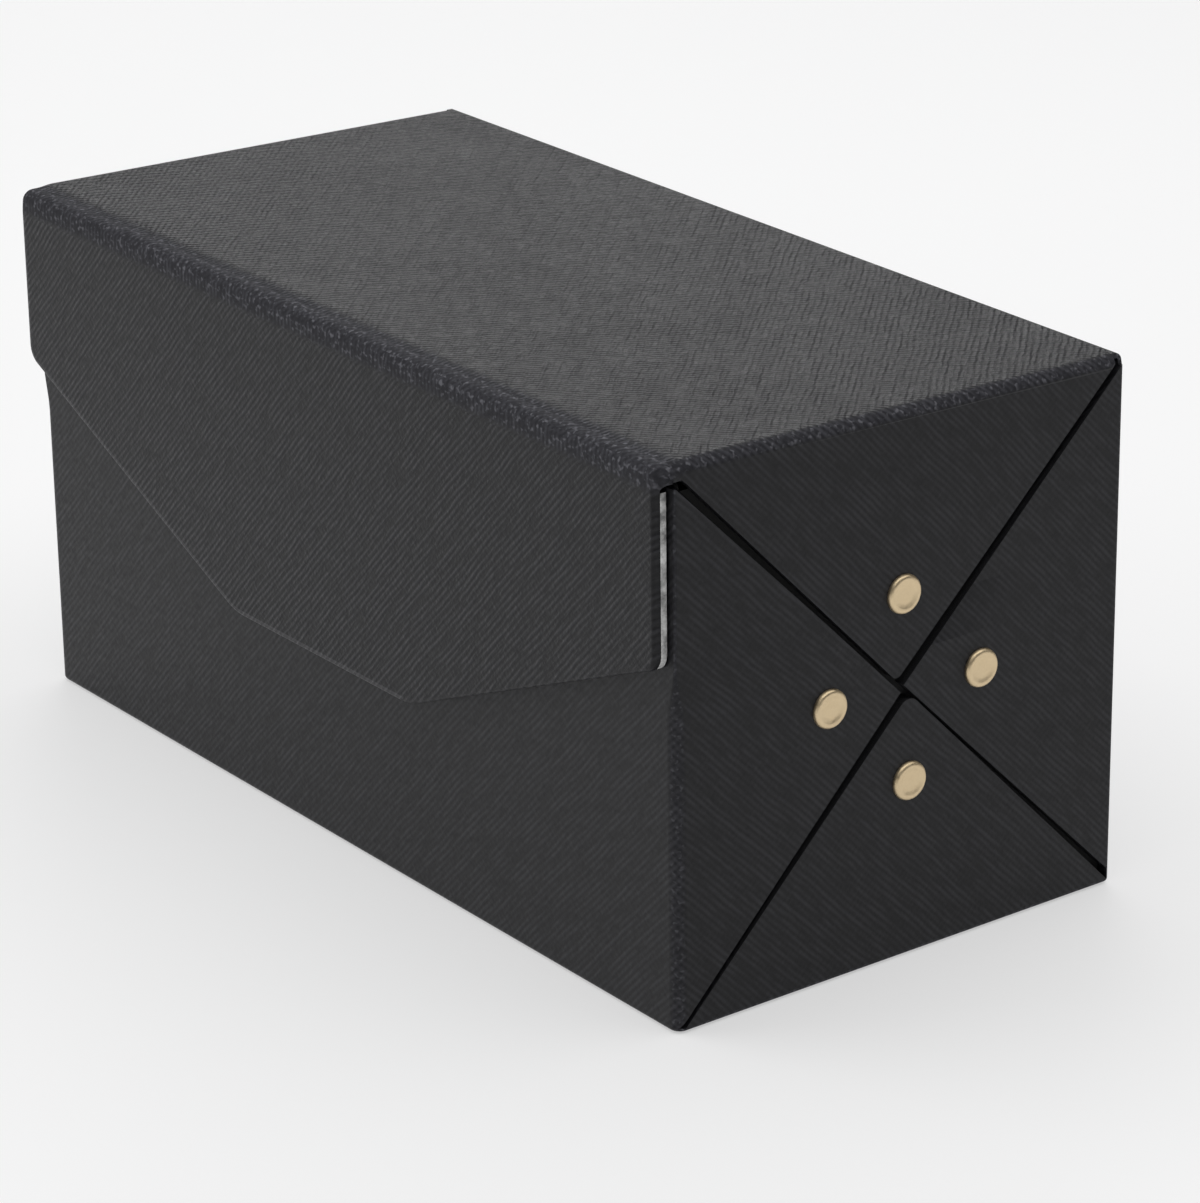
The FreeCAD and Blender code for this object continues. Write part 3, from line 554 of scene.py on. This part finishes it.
TIGHT_CUTS = (TIGHT_FROM, 59.0, 61.5, 64.0, TIGHT_TO)
TIP_LEVEL = 97.48           # top of the front triangles' tips
TIP_RISE = 0.35             # how far they are drawn up towards the roll
TIPS_ABOVE = 90.0           # height above which the slits come near the front corners
TIP_WIDTH = 2.5             # of a tip, in from the end
TIP_AHEAD = (45.5, 47.5)    # ahead of the middle: where it begins to rise, and where it has


def tighten_front_corners(form):
    """Turn the front corners more sharply above the flap's side corners."""
    for level in TIGHT_CUTS:
        cut_across(form, (0, 0, level), (0, 0, 1))
    wall = BODY_HIGH.y
    for vertex in form.verts:
        p = vertex.co
        across = abs(p.x) - (HALF_LENGTH - SOFT_FOLD)
        ahead = -p.y - (wall - SOFT_FOLD)
        reach = hypot(across, ahead)
        on_arc = across > -PLANE_SLACK and ahead > -PLANE_SLACK
        deep = SOFT_FOLD - reach
        deepest = SLIT_ROUND + PLANE_SLACK if p.z > TIPS_ABOVE else 3 * PLANE_SLACK
        if not on_arc or deep > deepest:
            continue
        radius, before = front_fold(p.z), p.y
        p.x = (1 if p.x > 0 else -1) * (HALF_LENGTH - radius + (radius - deep) * across / reach)
        p.y = -(wall - radius + (radius - deep) * ahead / reach)
        if TIPS_ABOVE < p.z < TIP_LEVEL:
            p.z += min(before - p.y, TIP_LEVEL - p.z)
    for vertex in form.verts:
        p = vertex.co
        at_end = abs(p.x) > HALF_LENGTH - TIP_WIDTH
        if p.z > TIP_LEVEL - 2 * SLIT_ROUND and at_end and p.y < 0:
            p.z += TIP_RISE * smooth(*TIP_AHEAD, -p.y)


form = from_node("body_cover")
turn_slit_edges(form)
tighten_front_corners(form)
body_wrap = piece("body_wrap", form, "leatherette")
shade_smooth(body_wrap, flat_from=100.0)
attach(body_wrap, "box")
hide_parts("body_cover")

form = from_node("lid_cover")
turn_slit_edges(form)
for line in SAG_CUTS:
    cut_across(form, (0, line, 0), (0, 1, 0))
for vertex in form.verts:
    vertex.co.z -= sag_at(vertex.co.y) * smooth(*SAG_LEVELS, vertex.co.z)
lid_wrap = piece("lid_wrap", form, "leatherette", ribs_on_lid)
shade_smooth(lid_wrap)
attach(lid_wrap, "lid")
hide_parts("lid_cover")

rivet_caps("end_caps_wrap", END_SPOTS, "box", "end_rivet_caps")
rivet_caps("lid_caps_wrap", (LID_SPOT,), "lid", "lid_rivet_caps")

# -------------------------------------------------------------------- roll of the flap
ROLL_RADIUS = 2.4
ROLL_AXIS = (ROLL_LOW.y + ROLL_RADIUS, ROLL_HIGH.z - ROLL_RADIUS)
ROLL_STEPS = 14
DROP_STEPS = 6
END_STEPS = 7
HALF_RINGS = 60                          # rings from the middle of the roll to an end
CURVE_SHARE, DROP_SHARE = 0.7, 0.3       # of the way to the flap, round the roll and below it
SAG_FADE = 0.8                           # share of the turn over which the sag is lost
FOLD_AT_LID, FOLD_AT_FLAP = 2.2, 0.7     # how the roll's ends are rounded
FOLD_SHARES, SLIDE_SHARES = (0.3, 1.0), (0.15, 0.95)    # where that changes, and the length
CORE_LEVELS = (98.0, 99.15)              # heights over which the core takes the lid's length
FLAP_STRETCH = 1.1       # how far the cover is drawn out at the flap's right end

# The core's side of the roll as (y, z), from the flap up to the lid's edge
CORE = (
    (FLAP_HIGH.y, ROLL_LOW.z), (FLAP_HIGH.y, 98.0), (-49.6, 98.5), (LID_EDGE[0], 98.8),
)

# The ribs on the roll: how strong they are, and the heights between which they come in at
# its foot and fade out over its crest
RIB_STRENGTH, RIBS_IN, RIBS_OUT = 0.8, (97.0, 98.6), (100.4, 101.8)
# Heights between which the roll's sheet comes to be pulled fully, and so paler, partly as painted
# light, then those over which its grain grows calmer, and by what share
PULL_LEVELS, CALM_LEVELS, CALM = (97.6, 99.8), (99.5, 101.2), 0.6


def roll_section():
    """Outer points of the roll as (y, z, inward, share), from the lid's edge down to the flap.
    Inward is the way to the roll's core, and share is how far the point is on that way."""
    points = []
    start = 90.0 - LID_TILT_DEGREES
    for step in range(ROLL_STEPS + 1):
        angle = radians(start + (180.0 - start) * step / ROLL_STEPS)
        out = (cos(angle), sin(angle))
        sag = SAG * (1 - smooth(0.0, SAG_FADE, step / ROLL_STEPS))
        y = ROLL_AXIS[0] + ROLL_RADIUS * out[0]
        z = ROLL_AXIS[1] + ROLL_RADIUS * out[1] - sag
        points.append((y, z, (-out[0], -out[1]), CURVE_SHARE * step / ROLL_STEPS))
    first = (LID_EDGE[0], LID_EDGE[1] - SAG, points[0][2], 0.0)
    for step in range(1, DROP_STEPS + 1):
        z = ROLL_AXIS[1] + (ROLL_LOW.z - ROLL_AXIS[1]) * step / DROP_STEPS
        share = CURVE_SHARE + DROP_SHARE * step / DROP_STEPS
        points.append((ROLL_LOW.y, z, (1.0, 0.0), share))
    return [first] + points


def roll_wrap():
    """The sheet from the lid's edge over to the flap, filled behind, with rounded ends."""
    section = roll_section()
    stations = [(-1, 90.0 * (1 - i / END_STEPS)) for i in range(END_STEPS + 1)]
    stations += [(i / HALF_RINGS, None) for i in range(1 - HALF_RINGS, HALF_RINGS)]
    stations += [(1, 90.0 * i / END_STEPS) for i in range(END_STEPS + 1)]
    rings = []
    for place, turn in stations:
        ring = []
        for y, z, inward, share in section:
            fold = FOLD_AT_LID + (FOLD_AT_FLAP - FOLD_AT_LID) * smooth(*FOLD_SHARES, share)
            slide = smooth(*SLIDE_SHARES, share)
            left = -HALF_LENGTH + (FLAP_LOW.x + HALF_LENGTH) * slide + fold
            right = HALF_LENGTH + (FLAP_HIGH.x + FLAP_STRETCH - HALF_LENGTH) * slide - fold
            x = left + (right - left) * (place + 1) / 2
            depth = 0.0
            if turn is not None:
                x += place * fold * sin(radians(turn))
                depth = fold * (1 - cos(radians(turn)))
            ring.append(Vector((x, y + inward[0] * depth, z + inward[1] * depth)))
        last = ring[-1].x
        for y, z in CORE:
            share = smooth(*CORE_LEVELS, z)
            ring.append(Vector((last + (ring[0].x - last) * share, y, z)))
        rings.append(ring)
    form = bmesh.new()
    loft(form, rings)
    return form


def ribs_on_roll(point):
    """The ribs lie on the front of the roll, and fade out down the flap and over its crest."""
    return RIB_STRENGTH * smooth(*RIBS_IN, point.z) * (1 - smooth(*RIBS_OUT, point.z))


def roll_place(p, normal, centre):
    """The same for the roll, where the sheet is pulled all over, which paints it lighter, and its
    crest is calmer.
    """
    u, v, lean, relief, pulled_and_lit = sheet_place(p, normal, centre)
    drawn = smooth(*PULL_LEVELS, p.z)
    calm = 1 - CALM * smooth(*CALM_LEVELS, p.z)
    return u, v, lean, relief * calm, max(pulled_and_lit, drawn)


roll = piece("roll_wrap", roll_wrap(), "leatherette", ribs_on_roll, roll_place)
shade_smooth(roll, 60)
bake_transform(roll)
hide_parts("flap_hinge_roll")

# ------------------------------------------------------------------------ hinges at the back
# Each strip, and the (x, y, z) where it leaves the box and where it comes on to the lid
HINGE_STRIPS = (
    (
        "lid_hinge_fold",
        (0, LID_AXIS[0] + 1.0, LID_AXIS[1] - 1.0), (0, LID_AXIS[0] - 1.0, LID_AXIS[1] + 1.0),
    ),
    ("lid_hinge_lining", (0, 46.2, 94.7), (0, 43.7, 97.2)),
)
# How much shorter a strip is at each end, how much more it is where it reaches the lid's
# top, and the heights between which that comes in
STRIP_SHORT, STRIP_SHORTER, SHORT_LEVELS = 0.7, 0.9, (98.0, 101.0)

for node, start, finish in HINGE_STRIPS:
    form = from_node(node)
    end = max(abs(v.co.x) for v in form.verts)
    for vertex in form.verts:
        if end - abs(vertex.co.x) < PLANE_SLACK:
            short = STRIP_SHORT + STRIP_SHORTER * smooth(*SHORT_LEVELS, vertex.co.z)
            vertex.co.x = (end - short) * (1 if vertex.co.x > 0 else -1)
    bend = piece(f"{node}_wrap", form, SLOTS[node])
    shade_smooth(bend, 40)
    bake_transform(bend)
    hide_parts(node)

# ------------------------------------------------------------ cover and lining of the flap
FLAP_RIM = 0.4               # of the flap's face beside its rounded edges, with a painted highlight there
FLAP_FACE_AREA = 1000.0      # square millimetres, less than the face and more than its edges
OPEN_FROM, OPEN_TO = 3.0, 1.0    # from the right end, where the cover is drawn out
LINING_OUT = 0.25            # how much further the lining is
HIGHLIGHT_BELOW = 96.0             # height of the upper end of the edges with the painted highlight
HIGHLIGHT_FACING = -0.2            # how far their faces look forward
# How strongly the painted highlight shows on those edges
EDGE_HIGHLIGHT_SHARE = 0.6
RAW_FACING = 0.4             # how far the lining's cut edges look to a side or down


def push_right_end(form, way):
    """Draw the flap's right end out to where its edge is worn open."""
    end = max(vertex.co.x for vertex in form.verts)
    for vertex in form.verts:
        vertex.co.x += way * smooth(end - OPEN_FROM, end - OPEN_TO, vertex.co.x)


form = from_node("flap_cover")
forward = [face for face in form.faces if face.normal.y < -0.99]
front = max(forward, key=lambda face: face.calc_area())
bmesh.ops.inset_individual(form, faces=[front], thickness=FLAP_RIM, use_even_offset=True)
push_right_end(form, FLAP_STRETCH)
flap_wrap = piece("flap_wrap", form, "leatherette", None, flap_place)
# Paint a highlight on the flap's lower left edge strips, where light from the left catches the
# edge
edge_highlight = flap_wrap.data.attributes["edge_highlight"].data
for face in flap_wrap.data.polygons:
    low = face.center.z * METRE < HIGHLIGHT_BELOW and face.normal.y < HIGHLIGHT_FACING
    if low and face.area * METRE ** 2 < FLAP_FACE_AREA and face.center.x < 0:
        for loop in face.loop_indices:
            edge_highlight[loop].value = EDGE_HIGHLIGHT_SHARE
shade_smooth(flap_wrap)
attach(flap_wrap, "flap")
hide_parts("flap_cover")

form = from_node("flap_lining_sheet")
push_right_end(form, FLAP_STRETCH + LINING_OUT)
lining = piece("flap_lining_wrap", form, "pale_card")
lining.data.materials.append(raw_card_edge())
for face in lining.data.polygons:
    cut = abs(face.normal.x) > RAW_FACING or face.normal.z < -RAW_FACING
    face.material_index = 1 if cut else 0
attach(lining, "flap")
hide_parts("flap_lining_sheet")

# --------------------------------------------------------------------- the other solids
for name, node in NODES.items():
    node.data.materials.clear()
    node.data.materials.append(MATERIALS[SLOTS[name]])
    if SLOTS[name] == "leatherette":
        unfold(node.data, METRE)

# --------------------------------------------------------------------- floor and light
bpy.ops.mesh.primitive_plane_add(size=12.0, location=(0, 0, 0))
floor = bpy.context.object
floor.name = "floor"
paper = Shader("floor_paper")
paper.set(Roughness=0.9, Specular_IOR_Level=0.1)
spot = paper.node("ShaderNodeTexCoord").outputs["Object"]
shade = paper.noise(spot, 3.0, 2.0)
paper.feed("Base Color", paper.mix(shade, (0.50, 0.50, 0.503, 1), (0.515, 0.515, 0.516, 1)))
# A little light of its own keeps the floor white and the shadows on it pale
paper.set(Emission_Color=(1, 1, 1, 1), Emission_Strength=0.45)
floor.data.materials.append(paper.material)


def softbox(name, place, aim, size, watts, spread=pi):
    """A soft rectangular light that looks at a point."""
    lamp = bpy.data.lights.new(name, "AREA")
    lamp.spread = spread
    lamp.shape = "RECTANGLE"
    lamp.size, lamp.size_y = size
    lamp.energy = watts
    holder = bpy.data.objects.new(name, lamp)
    holder.location = place
    holder.rotation_mode = "QUATERNION"
    holder.rotation_quaternion = (Vector(aim) - Vector(place)).to_track_quat("-Z", "Y")
    bpy.context.scene.collection.objects.link(holder)


softbox("overhead", (0.0, 0.15, 1.6), (0, 0, 0), (2.8, 2.8), 33)
softbox("left", (-1.6, -1.5, 1.0), (0, 0, 0.05), (2.0, 1.4), 15)
softbox("behind", (-1.15, 0.85, 0.7), (0, 0, 0.1), (0.8, 0.4), 0.3, radians(50))
world = bpy.data.worlds.new("studio")
bpy.context.scene.world = world
world.use_nodes = True
world.node_tree.nodes["Background"].inputs[0].default_value = (1.0, 1.0, 1.0, 1)
world.node_tree.nodes["Background"].inputs[1].default_value = 0.15

# ---------------------------------------------------------------------------- camera
# Where the camera stands, which way it looks (degrees from +Y towards +X, and below the
# horizon), how far it leans, and its lens for a 36 mm wide sensor
CAMERA_PLACE = (0.66756, -0.48706, 0.36483)
CAMERA_TURN = -53.30
CAMERA_DROP = 21.747
CAMERA_ROLL = -0.7415
camera_data = bpy.data.cameras.new("camera")
camera_data.lens = 143.1
camera_data.sensor_width = 36.0
camera_data.sensor_fit = "HORIZONTAL"
camera_data.clip_start, camera_data.clip_end = 0.01, 50.0
camera = bpy.data.objects.new("camera", camera_data)
camera.location = CAMERA_PLACE
camera.rotation_mode = "QUATERNION"
turn, drop = radians(CAMERA_TURN), radians(CAMERA_DROP)
ahead = Vector((sin(turn) * cos(drop), cos(turn) * cos(drop), -sin(drop)))
camera.rotation_quaternion = (
    ahead.to_track_quat("-Z", "Y") @ Quaternion((0, 0, 1), radians(CAMERA_ROLL))
)
bpy.context.scene.collection.objects.link(camera)
bpy.context.scene.camera = camera
bpy.context.scene.view_settings.view_transform = "Standard"
